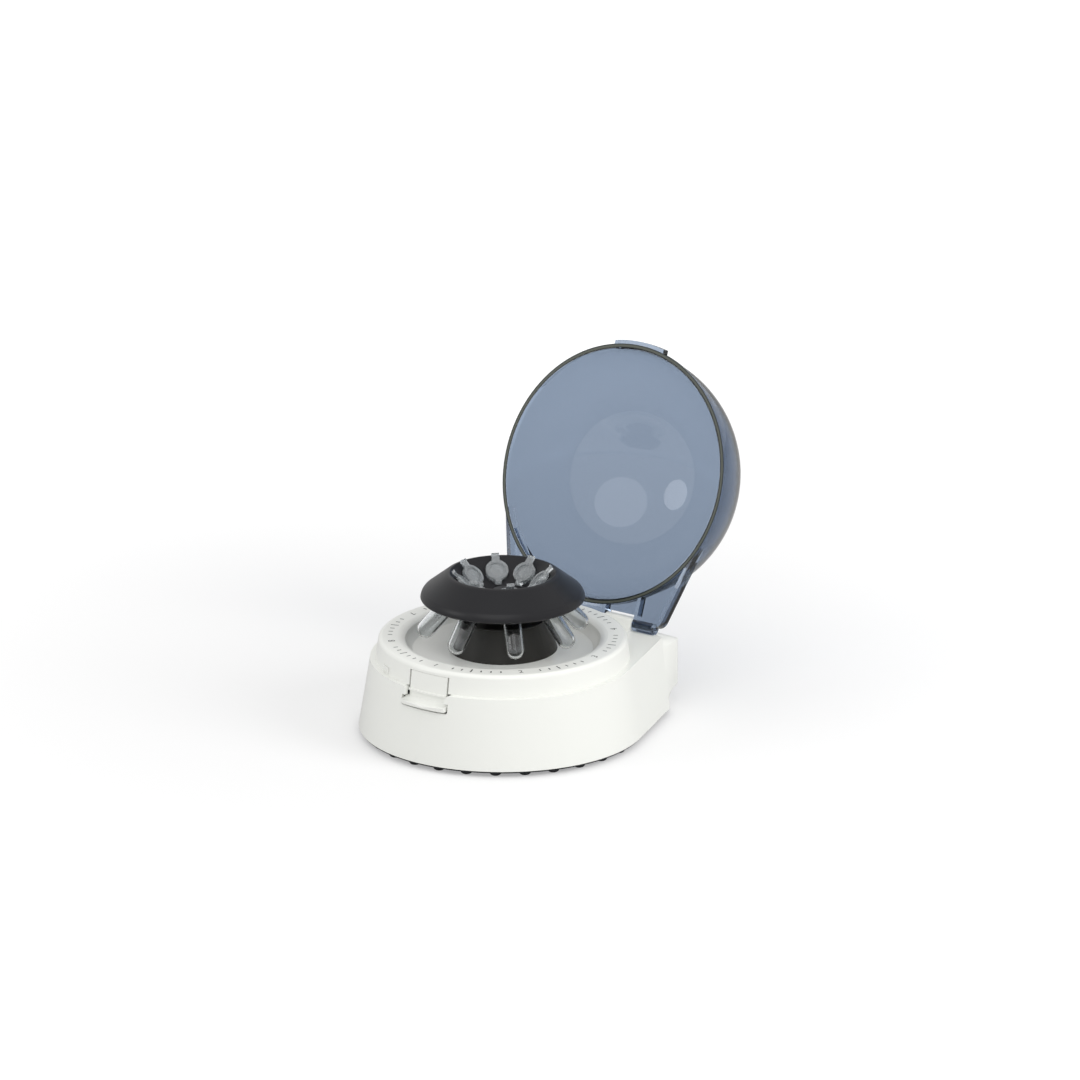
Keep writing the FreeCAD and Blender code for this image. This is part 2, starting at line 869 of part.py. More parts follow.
# ---------------------------------------------------------------- drive
def motor_pedestal():
    piece = Piece("motor_pedestal")
    floor = s.bowl_floor_height
    top = s.pedestal_top
    wall = s.pedestal_wall
    bead = s.pedestal_bead
    slope = (s.pedestal_foot_radius - s.pedestal_top_radius) / s.pedestal_height
    neck = s.pedestal_top_radius + slope * bead * 2
    profile = [
        (s.pedestal_opening, top - wall),
        (s.pedestal_top_radius - wall, top - wall),
        (s.pedestal_foot_radius - wall, floor),
        (s.pedestal_foot_radius, floor),
        (neck, top - bead * 2),
        (s.pedestal_top_radius + bead * 2, top - bead),
        (s.pedestal_top_radius + bead * 2, top),
        (s.pedestal_opening, top),
    ]
    piece.revolve(piece.sketch("XZ", profile))


def bracket_under():
    """The plane where the motor hangs from its bracket."""
    return s.bowl_floor_height - s.cover_wall - s.damper_height - s.bracket_thickness


def motor_can():
    piece = Piece("motor_can")
    top = bracket_under()
    low = top - s.motor_length
    hole = s.shaft_radius + s.shaft_running_gap
    soft = s.motor_radius / 12
    profile = [
        (0, low),
        (s.motor_radius - soft, low),
        (s.motor_radius, low + soft, soft),
        (s.motor_radius, top),
        (s.motor_nose_radius, top),
        (s.motor_nose_radius, top + s.motor_nose_height),
        (hole, top + s.motor_nose_height),
        (hole, top - s.shaft_depth - s.shaft_running_gap),
        (0, top - s.shaft_depth - s.shaft_running_gap),
    ]
    piece.revolve(piece.sketch("XZ", profile))


def motor_bracket():
    piece = Piece("motor_bracket")
    outer = (0, 0, s.bracket_radius)
    inner = (0, 0, s.bracket_opening)
    piece.pad(piece.sketch("XY", outer, inner, lift=bracket_under()), s.bracket_thickness)
    hole = (0, -s.damper_ring_radius, s.motor_screw_radius + s.screw_gap)
    holes = piece.cut(
        piece.sketch("XY", hole, lift=bracket_under()), s.bracket_thickness, forward=True
    )
    piece.ring(holes, s.damper_count)


def motor_dampers():
    piece = Piece("motor_dampers")
    low = bracket_under() + s.bracket_thickness
    outer = (0, -s.damper_ring_radius, s.damper_radius)
    inner = (0, -s.damper_ring_radius, s.motor_screw_radius + s.screw_gap)
    damper = piece.pad(piece.sketch("XY", outer, inner, lift=low), s.damper_height)
    piece.ring(damper, s.damper_count)


def motor_screws():
    piece = Piece("motor_screws")
    seat = bracket_under()
    reach = s.bracket_thickness + s.damper_height + s.motor_screw_bite
    middle = s.damper_ring_radius
    head = piece.pad(
        piece.sketch("XY", (0, -middle, s.motor_screw_head), lift=seat),
        s.motor_screw_head_height,
        back=True,
    )
    piece.ring(head, s.damper_count)
    shank = piece.pad(
        piece.sketch("XY", (0, -middle, s.motor_screw_radius), lift=seat), reach
    )
    piece.ring(shank, s.damper_count)


def rotor_shaft():
    piece = Piece("rotor_shaft")
    low = bracket_under() - s.shaft_depth
    high = hub_top() + s.clip_grip
    piece.pad(piece.sketch("XY", (0, 0, s.shaft_radius), lift=low), high - low)


# ---------------------------------------------------------------- rotor
def tilt_slope():
    return sine(s.tube_tilt) / cosine(s.tube_tilt)


def dish_height(radius):
    """Height of the rotor's inner cone, which the tube flanges sit on."""
    return s.rotor_lip_height - (s.rotor_lip_radius - radius) * tilt_slope()


def hub_top():
    return dish_height(s.hub_radius)


def seat_point(sink):
    """Radius and height of a point on the tube's axis, sunk below the dish."""
    radius = s.seat_radius + sink * sine(s.tube_tilt)
    height = dish_height(s.seat_radius) - sink * cosine(s.tube_tilt)
    return radius, height


def seat_pose(sink):
    """The pose of a sketch square to the first tube, sunk below the dish."""
    radius, height = seat_point(sink)
    return placement_text(radius.text, "0", height.text, "0", (-s.tube_tilt).text, "0")


def rotor_body():
    piece = Piece("rotor_body")
    shell = s.rotor_shell
    drop = shell / cosine(s.tube_tilt)
    run = s.rotor_shoulder_radius - s.rotor_fold_radius
    fall = s.rotor_fold_height - s.rotor_shoulder_height
    slope = fall / run
    skirt_drop = shell * root(run * run + fall * fall) / run
    # the underside of the dish meets the inside of the skirt at the crotch
    dish_zero = dish_height(as_size(0)) - drop
    skirt_zero = s.rotor_fold_height - skirt_drop + s.rotor_fold_radius * slope
    crotch = (skirt_zero - dish_zero) / (tilt_slope() + slope)
    hub_low = s.pedestal_top + s.hub_gap
    bore = s.shaft_radius + s.screw_gap
    rim_low = s.rotor_rim_height - shell / 2
    profile = [
        (bore, hub_low),
        (s.hub_radius, hub_low),
        (s.hub_radius, hub_top() - drop),
        (crotch, dish_zero + crotch * tilt_slope()),
        (s.rotor_shoulder_radius - shell / 2, s.rotor_shoulder_height - skirt_drop
         + slope * shell / 2),
        (s.rotor_rim_radius - shell, rim_low),
        (s.rotor_rim_radius - shell / 2, rim_low),
        (s.rotor_rim_radius, s.rotor_rim_height, shell),
        (s.rotor_shoulder_radius, s.rotor_shoulder_height, shell * 3),
        (s.rotor_fold_radius, s.rotor_fold_height),
        (s.rotor_lip_radius, s.rotor_lip_height, shell * 2),
        (s.hub_radius, hub_top()),
        (bore, hub_top()),
    ]
    piece.revolve(piece.sketch("XZ", profile))
    sleeve = piece.pad(
        piece.sketch("XY", (0, 0, s.sleeve_radius), pose=seat_pose(shell / 2)),
        s.sleeve_length - shell / 2,
        back=True,
    )
    piece.ring(sleeve, s.tube_count)
    recess = piece.cut(
        piece.sketch("XY", (0, 0, s.seat_recess_radius), pose=seat_pose(s.seat_sink)),
        s.sleeve_length,
        forward=True,
    )
    piece.ring(recess, s.tube_count)
    socket = piece.cut(
        piece.sketch("XY", (0, 0, s.tube_radius + s.tube_gap), pose=seat_pose(0)),
        s.sleeve_length * 1.5,
    )
    piece.ring(socket, s.tube_count)


def rotor_clip():
    piece = Piece("rotor_clip")
    low = hub_top()
    high = low + s.clip_height
    bore = s.shaft_radius + s.screw_gap
    soft = s.clip_radius / 4
    profile = [
        (bore, low),
        (s.clip_radius, low),
        (s.clip_radius, high - soft),
        (s.clip_radius - soft, high, soft),
        (0, high),
        (0, low + s.clip_grip),
        (bore, low + s.clip_grip),
    ]
    piece.revolve(piece.sketch("XZ", profile))


def place_in_rotor(piece, number):
    """Seat a tube or a cap in one of the rotor's sockets."""
    turn = as_size(number) * 360 / s.tube_count - 90
    radius, height = seat_point(s.seat_sink)
    x = radius * cosine(turn)
    y = radius * sine(turn)
    piece.place(x, y, height, turn, -s.tube_tilt, 0)


def tube(number):
    """A round bottomed sample tube, upright with its flange on z = 0."""
    piece = Piece(f"tube_{number + 1}")
    bore = s.tube_radius - s.tube_wall
    end = s.tube_end_radius
    end_bore = end - s.tube_wall
    profile = [
        (s.flange_radius, 0),
        (s.flange_radius, s.flange_height),
        (bore, s.flange_height),
        (end_bore, -s.tube_length),
        (0, -(s.tube_length + end_bore), -end_bore),
        (0, -(s.tube_length + end)),
        (end, -s.tube_length, end),
        (s.tube_radius, 0),
    ]
    piece.revolve(piece.sketch("XZ", profile))
    place_in_rotor(piece, number)


def tube_cap(number):
    """A snap cap with its plug, thumb tab and hinge strap."""
    piece = Piece(f"tube_cap_{number + 1}")
    low = s.flange_height
    high = low + s.cap_height
    plug = s.tube_radius - s.tube_wall - s.plug_gap * 2
    profile = [
        (0, low),
        (plug - s.plug_wall, low),
        (plug - s.plug_wall, low - s.plug_depth),
        (plug - s.plug_gap, low - s.plug_depth),
        (plug, low),
        (s.cap_radius, low),
        (s.cap_radius, high),
        (s.cap_recess_radius, high),
        (s.cap_recess_radius, high - s.cap_recess_depth),
        (0, high - s.cap_recess_depth),
    ]
    piece.revolve(piece.sketch("XZ", profile))
    root_x = s.cap_radius - s.cap_tab_thickness
    under = high - s.cap_tab_thickness
    tab = [
        (root_x, under),
        (s.cap_tab_reach, under),
        (s.cap_tab_reach, high + s.cap_tab_thickness / 2),
        (s.cap_tab_reach - s.cap_tab_thickness / 2, high + s.cap_tab_thickness / 2),
        (s.cap_tab_reach - s.cap_tab_thickness, high),
        (root_x, high),
    ]
    piece.pad(piece.sketch("XZ", tab), s.cap_tab_width, both=True)
    outside = s.flange_radius + s.tube_gap
    low_end = s.seat_sink + s.strap_gap
    strap = [
        (-root_x, high),
        (-(outside + s.strap_reach) / 2, high),
        (-s.strap_reach, high - s.cap_height / 2),
        (-s.strap_reach, low_end),
        (-outside, low_end),
        (-outside, low + s.tube_gap),
        (-root_x, low + s.tube_gap),
    ]
    piece.pad(piece.sketch("XZ", strap), s.strap_width, both=True)
    place_in_rotor(piece, number)


# ---------------------------------------------------------------- lid
def lid_height(height):
    """A height above the floor, with the lid shut, as one above the hinge."""
    return height - s.hinge_height


def tail_line_x(inset, depth):
    """Half width of the tail at a depth, for a side wall face inset from the rim."""
    across = cosine(s.side_angle)
    back = sine(s.side_angle)
    return (s.deck_radius - inset - depth * back) / across


def lid():
    """The dome lid, drawn shut about its hinge and placed open."""
    piece = Piece("lid")
    rim_low = lid_height(s.deck_height + s.lid_rest_gap)
    rim_high = rim_low + s.lid_rim_height
    rim = s.deck_radius
    rim_inner = rim - s.lid_rim_wall
    centre = lid_height(s.deck_height + s.dome_centre_rise)
    across = cosine(s.side_angle)
    back = sine(s.side_angle)
    plate_low = rim_low + s.tail_plate_rise
    plate_high = plate_low + s.tail_plate
    # plan points are given as depth behind the rotor's axis
    start = s.tail_start
    end = s.hinge_depth
    side = s.tail_inset
    run = corner_run()
    tip = tail_line_x(side, end)
    tail = [
        (-tip - run * back, -(run * across)),
        (-tail_line_x(side, start), start - end),
        (tail_line_x(side, start), start - end),
        (tip + run * back, -(run * across)),
        (tip - run, 0, s.tail_corner),
        (run - tip, 0),
    ]
    tail = tail[1:] + [(*tail[0], s.tail_corner)]
    piece.pad(piece.sketch("XY", tail, lift=rim_low), plate_high - rim_low)
    # the dome, solid for now
    dome = s.dome_radius
    outside = [
        (0, rim_low),
        (rim, rim_low),
        (rim, rim_high - s.lid_rim_slope),
        (leg(dome, rim_high - centre), rim_high),
        (0, centre + dome, dome),
    ]
    piece.revolve(piece.sketch("XZ", outside, lift=s.hinge_depth))
    # the front tab
    half = s.tab_half_width
    tab_radius = rim + s.tab_proud
    tab_back = rim - s.lid_rim_wall * 2
    tab_front = leg(tab_radius, half) + s.hinge_depth
    tab = [
        (-half, -(tab_back + s.hinge_depth)),
        (-half, -tab_front),
        (0, -(tab_radius + s.hinge_depth), tab_radius),
        (half, -tab_front, tab_radius),
        (half, -(tab_back + s.hinge_depth)),
    ]
    piece.pad(piece.sketch("XY", tab, lift=rim_low), s.tab_height)
    # the hollow, one smooth cap from the rim's inner edge
    hollow = centre + dome - s.dome_wall - rim_low
    inside = [
        (0, rim_low - s.lid_rim_height),
        (rim_inner, rim_low - s.lid_rim_height),
        (rim_inner, rim_low),
        (0, rim_low + hollow, (rim_inner * rim_inner + hollow * hollow) / (hollow * 2)),
    ]
    piece.revolve(piece.sketch("XZ", inside, lift=s.hinge_depth), "Groove")
    # the catch pocket inside the tab
    half = s.catch_pocket_half_width
    pocket_radius = rim_inner + s.catch_pocket_depth
    pocket_front = leg(pocket_radius, half) + s.hinge_depth
    pocket = [
        (-half, -(tab_back + s.hinge_depth)),
        (-half, -pocket_front),
        (0, -(pocket_radius + s.hinge_depth), pocket_radius),
        (half, -pocket_front, pocket_radius),
        (half, -(tab_back + s.hinge_depth)),
    ]
    piece.cut(
        piece.sketch("XY", pocket, lift=rim_low), s.catch_pocket_height, forward=True
    )
    # cells under the tail, between the rim, the side walls and the ribs
    depth = plate_low - rim_low
    rib_in = s.block_outer + s.block_gap
    rib_out = rib_in + s.rib_thickness
    wall = s.tail_wall + side
    reach = leg(rim, rim - wall)
    tip_x = (rim - wall) * across - reach * back
    tip_y = (rim - wall) * back + reach * across
    knuckle_front = s.hinge_depth - s.knuckle_radius - s.knuckle_gap
    outer_cell = [
        (rib_out, knuckle_front - end),
        (tail_line_x(wall, knuckle_front), knuckle_front - end),
        (tip_x, tip_y - end),
        (rib_out, leg(rim, rib_out) - end, rim),
    ]
    cell = piece.cut(piece.sketch("XY", outer_cell, lift=rim_low), depth, forward=True)
    piece.mirror(cell)
    mid = s.mid_rib_across
    block_near = s.block_inner - s.block_gap
    slot_front = s.hinge_depth - s.block_round - s.knuckle_gap * 2
    narrow_cell = [
        (block_near, slot_front - end),
        (rib_in, slot_front - end),
        (rib_in, leg(rim, rib_in) - end),
        (block_near, leg(rim, block_near) - end, rim),
    ]
    cell = piece.cut(piece.sketch("XY", narrow_cell, lift=rim_low), depth, forward=True)
    piece.mirror(cell)
    slot = box_corners(block_near, rib_in, slot_front - end, s.block_foot)
    cell = piece.cut(
        piece.sketch("XY", slot, lift=rim_low), plate_high - rim_low, forward=True
    )
    piece.mirror(cell)
    back_edge = s.hinge_depth - s.tail_back_gap
    middle_cell = [
        (-mid, back_edge - s.tail_wall - end),
        (mid, back_edge - s.tail_wall - end),
        (mid, leg(rim, mid) - end),
        (-mid, leg(rim, mid) - end, rim),
    ]
    piece.cut(piece.sketch("XY", middle_cell, lift=rim_low), depth, forward=True)
    trim = box_corners(-block_near, block_near, back_edge - end, s.block_foot)
    piece.cut(piece.sketch("XY", trim, lift=rim_low), plate_high - rim_low, forward=True)
    # knuckles on the hinge line, bored for the pins
    knuckle = piece.pad(
        piece.sketch("YZ", (0, 0, s.knuckle_radius), lift=rib_in), knuckle_outer() - rib_in
    )
    piece.mirror(knuckle)
    bore = piece.cut(
        piece.sketch("YZ", (0, 0, s.pin_radius + s.pin_running_gap), lift=rib_in),
        s.pin_outer + s.knuckle_gap - rib_in,
        forward=True,
    )
    piece.mirror(bore)
    piece.place(0, s.hinge_depth, s.hinge_height, 0, 0, -s.lid_open_angle)


def hinge_pin(label, side):
    piece = Piece(label)
    inner = s.pin_inner * side
    sketch = piece.sketch("YZ", (0, 0, s.pin_radius), lift=inner)
    piece.pad(sketch, s.pin_outer - s.pin_inner, back=side < 0)
    piece.place(0, s.hinge_depth, s.hinge_height)


# ---------------------------------------------------------------- electrics
def lid_switch_button():
    piece = Piece("lid_switch_button")
    half = s.button_width / 2
    low = s.button_bottom
    high = low + s.button_height
    outline = box_corners(-half, half, low, high)
    tip = cover_wall_radius(low) + s.button_proud
    inner = s.button_inner_radius
    sketch = piece.sketch("XZ", outline, pose=turned_pose(inner))
    piece.pad(sketch, tip - inner)
    piece.fillet(s.button_proud * 0.8, button_tip_edge)


def button_tip_edge(edge, middle):
    """Edges of the button's outer face, which stands at the tip's distance."""
    turn = math.radians(s.button_angle.value)
    tip = cover_wall_radius(s.button_bottom) + s.button_proud
    distance = -middle.x * math.sin(turn) - middle.y * math.cos(turn)
    return abs(distance - tip.value) < 1e-6


def lid_switch():
    """The switch hangs under the ring, just inside the button."""
    piece = Piece("lid_switch")
    half = s.switch_width / 2
    high = s.cover_height - s.cover_wall
    outline = box_corners(-half, half, high - s.switch_tall, high)
    outer = s.button_inner_radius - s.switch_air
    sketch = piece.sketch("XZ", outline, pose=turned_pose(outer))
    piece.pad(sketch, s.switch_depth, back=True)


def board_low():
    return plate_top() + s.board_post_height


def post_places():
    x = s.board_width / 2 - s.board_post_inset
    near = s.board_front + s.board_post_inset
    far = s.board_front + s.board_depth - s.board_post_inset
    return [(x, near), (-x, near), (x, far), (-x, far)]


def control_board():
    piece = Piece("control_board")
    half = s.board_width / 2
    outline = box_corners(-half, half, s.board_front, s.board_front + s.board_depth)
    piece.pad(piece.sketch("XY", outline, lift=board_low()), s.board_thickness)


def board_components():
    """A reservoir capacitor, a driver chip and a terminal block."""
    piece = Piece("board_components")
    top = board_low() + s.board_thickness
    middle = s.board_front + s.board_depth / 2
    can = (s.board_width / 4, middle, s.capacitor_radius)
    piece.pad(piece.sketch("XY", can, lift=top), s.capacitor_height)
    chip = box_corners(
        -(s.board_width / 4) - s.chip_width / 2,
        -(s.board_width / 4) + s.chip_width / 2,
        middle - s.chip_depth / 2,
        middle + s.chip_depth / 2,
    )
    piece.pad(piece.sketch("XY", chip, lift=top), s.chip_height)


def dc_jack():
    """A barrel socket that looks out of the back wall, with its contact pin."""
    piece = Piece("dc_jack")
    inside = s.back_depth - s.housing_wall
    half = s.jack_width / 2
    low = s.jack_height - s.jack_tall / 2
    body = box_corners(
        s.jack_across - half, s.jack_across + half, low, low + s.jack_tall
    )
    piece.pad(piece.sketch("XZ", body, lift=-inside), s.jack_length)
    nose = (s.jack_across, s.jack_height, s.jack_nose_radius)
    piece.pad(
        piece.sketch("XZ", nose, lift=-inside), s.housing_wall - s.jack_gap, back=True
    )
    bore = (s.jack_across, s.jack_height, s.jack_bore_radius)
    mouth = s.back_depth - s.jack_gap
    piece.cut(piece.sketch("XZ", bore, lift=-mouth), s.jack_bore_depth, forward=True)
    pin = (s.jack_across, s.jack_height, s.jack_pin_radius)
    bottom = mouth - s.jack_bore_depth
    piece.pad(
        piece.sketch("XZ", pin, lift=-bottom), s.jack_bore_depth * 0.85, back=True
    )


# ---------------------------------------------------------------- assembly
lower_housing()
top_cover()
latch_tongue()
base_plate()
foot_mat()
base_screws()
motor_pedestal()
motor_can()
motor_bracket()
motor_dampers()
motor_screws()
rotor_shaft()
rotor_body()
rotor_clip()
for number in range(SIZES["tube_count"]):
    tube(number)
    tube_cap(number)
lid()
hinge_pin("hinge_pin_right", 1)
hinge_pin("hinge_pin_left", -1)
lid_switch()
lid_switch_button()
control_board()
board_components()
dc_jack()

doc.recompute()
for thing in doc.Objects:
    if "Invalid" in thing.State or "Error" in thing.State:
        raise RuntimeError(f"{thing.Label} is {thing.State}")
for body in Piece.made:
    if body.Shape.isNull() or not body.Shape.isValid():
        raise RuntimeError(f"{body.Label} has no valid shape")

os.makedirs("parts", exist_ok=True)
for body in Piece.made:
    body.Shape.exportStep(f"parts/{body.Label}.step")
    box = body.Shape.BoundBox
    print(f"{body.Label:20s} {len(body.Shape.Solids):3d} solids {body.Shape.Volume:10.1f} mm3"
          f"  x {box.XMin:.1f}..{box.XMax:.1f}  y {box.YMin:.1f}..{box.YMax:.1f}"
          f"  z {box.ZMin:.1f}..{box.ZMax:.1f}")
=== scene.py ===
"""Looks for a palm centrifuge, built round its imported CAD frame.

Every length is in metres, in the frame of the CAD model: the rotor turns
about Z through the origin, the floor is z = 0 and the latch faces -Y.
"""

import json
import logging
import math
from dataclasses import dataclass
from enum import Enum
from typing import Any, Mapping, Sequence

import bmesh
import bpy
from mathutils import Matrix, Vector

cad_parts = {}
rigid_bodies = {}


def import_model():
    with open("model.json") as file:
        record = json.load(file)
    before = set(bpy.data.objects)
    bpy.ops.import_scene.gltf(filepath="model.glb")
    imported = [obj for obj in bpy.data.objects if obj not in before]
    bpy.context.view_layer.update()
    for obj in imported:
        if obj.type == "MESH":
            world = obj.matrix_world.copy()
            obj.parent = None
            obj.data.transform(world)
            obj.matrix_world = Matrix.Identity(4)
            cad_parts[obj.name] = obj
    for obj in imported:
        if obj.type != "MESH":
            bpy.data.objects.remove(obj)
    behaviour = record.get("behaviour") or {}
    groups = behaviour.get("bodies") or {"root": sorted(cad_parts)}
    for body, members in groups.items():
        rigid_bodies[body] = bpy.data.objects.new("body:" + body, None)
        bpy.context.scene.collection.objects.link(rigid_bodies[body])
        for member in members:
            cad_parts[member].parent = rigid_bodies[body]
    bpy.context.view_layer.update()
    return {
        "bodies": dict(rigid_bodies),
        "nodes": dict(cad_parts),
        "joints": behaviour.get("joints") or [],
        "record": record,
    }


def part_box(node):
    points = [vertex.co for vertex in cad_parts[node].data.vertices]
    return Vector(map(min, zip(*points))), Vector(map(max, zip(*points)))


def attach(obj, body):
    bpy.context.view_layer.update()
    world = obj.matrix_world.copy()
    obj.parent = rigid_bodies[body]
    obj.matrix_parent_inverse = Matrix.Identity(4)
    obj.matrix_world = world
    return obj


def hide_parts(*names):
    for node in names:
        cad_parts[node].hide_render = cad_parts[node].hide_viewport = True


LOG = logging.getLogger("centrifuge")
MILLIMETRE = 0.001

Colour = tuple[float, float, float]
Frame = Mapping[str, Any]
WHITE_LIGHT: Colour = (1.0, 1.0, 1.0)


class Body(Enum):
    """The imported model's bodies that new pieces ride on."""

    BASE = "base"
    LID = "lid"


class Shaded(Enum):
    """The angle in degrees up to which a mesh's edges are shaded smooth."""

    FLAT = 0.0
    CREASED = 35.0


def from_screen(red: int, green: int, blue: int) -> Colour:
    """A linear colour from one written as 0 to 255.

    Args:
        red: The red value.
        green: The green value.
        blue: The blue value.

    Returns:
        The three linear values.
    """

    def linear(value: int) -> float:
        """One value made linear."""
        part = value / 255
        return part / 12.92 if part <= 0.04045 else ((part + 0.055) / 1.055) ** 2.4

    return (linear(red), linear(green), linear(blue))


# ------------------------------------------------------------ shader maths
class Wire:
    """A shader socket that takes part in arithmetic."""

    def __init__(self, sheet: "NodeSheet", socket: bpy.types.NodeSocket) -> None:
        """Keep the socket and the sheet that it is on.

        Args:
            sheet: The sheet that new nodes go on.
            socket: The output socket.
        """
        self.sheet = sheet
        self.socket = socket

    def _maths(self, operation: str, *terms: "Wire | float") -> "Wire":
        """One Math node.

        Args:
            operation: The node's operation.
            terms: What goes into its sockets, in order.

        Returns:
            The node's result.
        """
        return self.sheet.add(
            "ShaderNodeMath", {"operation": operation}, dict(enumerate(terms))
        )

    def __add__(self, other: "Wire | float") -> "Wire":
        """This plus other."""
        return self._maths("ADD", self, other)

    def __radd__(self, other: float) -> "Wire":
        """Other plus this."""
        return self._maths("ADD", other, self)

    def __sub__(self, other: "Wire | float") -> "Wire":
        """This less other."""
        return self._maths("SUBTRACT", self, other)

    def __rsub__(self, other: float) -> "Wire":
        """Other less this."""
        return self._maths("SUBTRACT", other, self)

    def __mul__(self, other: "Wire | float") -> "Wire":
        """This times other."""
        return self._maths("MULTIPLY", self, other)

    def __rmul__(self, other: float) -> "Wire":
        """Other times this."""
        return self._maths("MULTIPLY", other, self)


class NodeSheet:
    """The nodes of one material, or of the world."""

    def __init__(self, owner: bpy.types.Material | bpy.types.World) -> None:
        """Start with no nodes.

        Args:
            owner: The material or world that the nodes belong to.
        """
        owner.use_nodes = True
        self.tree = owner.node_tree
        self.tree.nodes.clear()

    def node(
        self,
        kind: str,
        settings: Mapping[str, Any] | None = None,
        values: Mapping[Any, Any] | None = None,
    ) -> bpy.types.Node:
        """Make one node; every node comes from here.

        Args:
            kind: The node's type.
            settings: What is set on the node first.
            values: A value or a wire for each socket, by name or place.

        Returns:
            The node.
        """
        node = self.tree.nodes.new(kind)
        for name, setting in (settings or {}).items():
            setattr(node, name, setting)
        for name, value in (values or {}).items():
            if isinstance(value, Wire):
                self.tree.links.new(value.socket, node.inputs[name])
            else:
                node.inputs[name].default_value = value
        return node

    def add(
        self,
        kind: str,
        settings: Mapping[str, Any] | None = None,
        values: Mapping[Any, Any] | None = None,
        out: int | str = 0,
    ) -> Wire:
        """Make one node and take one of its outputs.

        Args:
            kind: The node's type.
            settings: What is set on the node first.
            values: A value or a wire for each socket, by name or place.
            out: The output that is wanted, by name or place.

        Returns:
            That output.
        """
        return Wire(self, self.node(kind, settings, values).outputs[out])

    def place(self) -> Wire:
        """Where a point lies on its piece, in metres."""
        return self.add("ShaderNodeTexCoord", out="Object")

    def light_path(self, ray: str) -> Wire:
        """1 for one kind of ray, else 0."""
        return self.add("ShaderNodeLightPath", out=ray)

    def noise(self, size: float, detail: float = 2.0) -> Wire:
        """Soft noise from 0 to 1.

        Args:
            size: The size of its spots.
            detail: How many finer layers it has.

        Returns:
            The noise.
        """
        values = {"Vector": self.place(), "Scale": 1 / size, "Detail": detail}
        return self.add("ShaderNodeTexNoise", None, values, out="Fac")

    def shade(self, colour: Colour, strength: "Wire | float") -> Wire:
        """A colour made darker or lighter.

        Args:
            colour: The colour.
            strength: What it is multiplied by.

        Returns:
            The new colour.
        """
        return self.add(
            "ShaderNodeVectorMath",
            {"operation": "SCALE"},
            {0: colour, "Scale": strength},
        )

    def bump(self, height: Wire, depth: float, strength: float) -> Wire:
        """A normal from a height.

        Args:
            height: The height, from 0 to 1.
            depth: How far a height of 1 stands up.
            strength: How much of the effect is used.

        Returns:
            The normal.
        """
        values = {"Height": height, "Distance": depth, "Strength": strength}
        return self.add("ShaderNodeBump", None, values, out="Normal")

    def principled(self, **values: Any) -> Wire:
        """A Principled shader; a name's low line stands for a space."""
        named = {name.replace("_", " "): value for name, value in values.items()}
        return self.add("ShaderNodeBsdfPrincipled", None, named)

    def finish(self, surface: Wire, output: str = "ShaderNodeOutputMaterial") -> None:
        """Send a shader to the output.

        Args:
            surface: The shader.
            output: The output node's type.
        """
        self.node(output, None, {"Surface": surface})


# --------------------------------------------------------------- finishes
MIDDLE = 0.5  # of noise that runs from 0 to 1


@dataclass(frozen=True)
class MouldedPlastic:
    """Opaque moulded plastic with a fine grain and a slight drift of tone."""

    name: str
    colour: Colour
    roughness: float
    grain_size: float = 0.001
    grain_detail: float = 4.0
    grain_depth: float = 0.000006
    grain_strength: float = 0.5
    unevenness: float = 0.2
    drift: float = 0.02
    drift_size: float = 0.05
    ior: float = 1.5
    sheen_level: float = 0.5
    coat: float = 0.0
    coat_roughness: float = 0.08

    def build(self) -> bpy.types.Material:
        """The finished material."""
        material = bpy.data.materials.new(self.name)
        sheet = NodeSheet(material)
        grain = sheet.noise(self.grain_size, self.grain_detail)
        tone = 1 + (sheet.noise(self.drift_size) - MIDDLE) * self.drift
        spread = self.roughness * self.unevenness
        shader = sheet.principled(
            Base_Color=sheet.shade(self.colour, tone),
            Roughness=self.roughness + (grain - MIDDLE) * spread,
            Normal=sheet.bump(grain, self.grain_depth, self.grain_strength),
            IOR=self.ior,
            Specular_IOR_Level=self.sheen_level,
            Coat_Weight=self.coat,
            Coat_Roughness=self.coat_roughness,
        )
        sheet.finish(shader)
        return material


@dataclass(frozen=True)
class Rubber:
    """Black rubber with a dusty, uneven skin."""

    name: str
    colour: Colour
    roughness: float = 0.7
    unevenness: float = 0.2
    skin_size: float = 0.0012
    skin_detail: float = 5.0
    skin_depth: float = 0.00004
    skin_strength: float = 0.6
    darkest: float = 0.85
    tone_range: float = 0.3
    ior: float = 1.45

    def build(self) -> bpy.types.Material:
        """The finished material."""
        material = bpy.data.materials.new(self.name)
        sheet = NodeSheet(material)
        skin = sheet.noise(self.skin_size, self.skin_detail)
        tone = self.darkest + skin * self.tone_range
        shader = sheet.principled(
            Base_Color=sheet.shade(self.colour, tone),
            Roughness=self.roughness + (skin - MIDDLE) * self.unevenness,
            Normal=sheet.bump(skin, self.skin_depth, self.skin_strength),
            IOR=self.ior,
        )
        sheet.finish(shader)
        return material


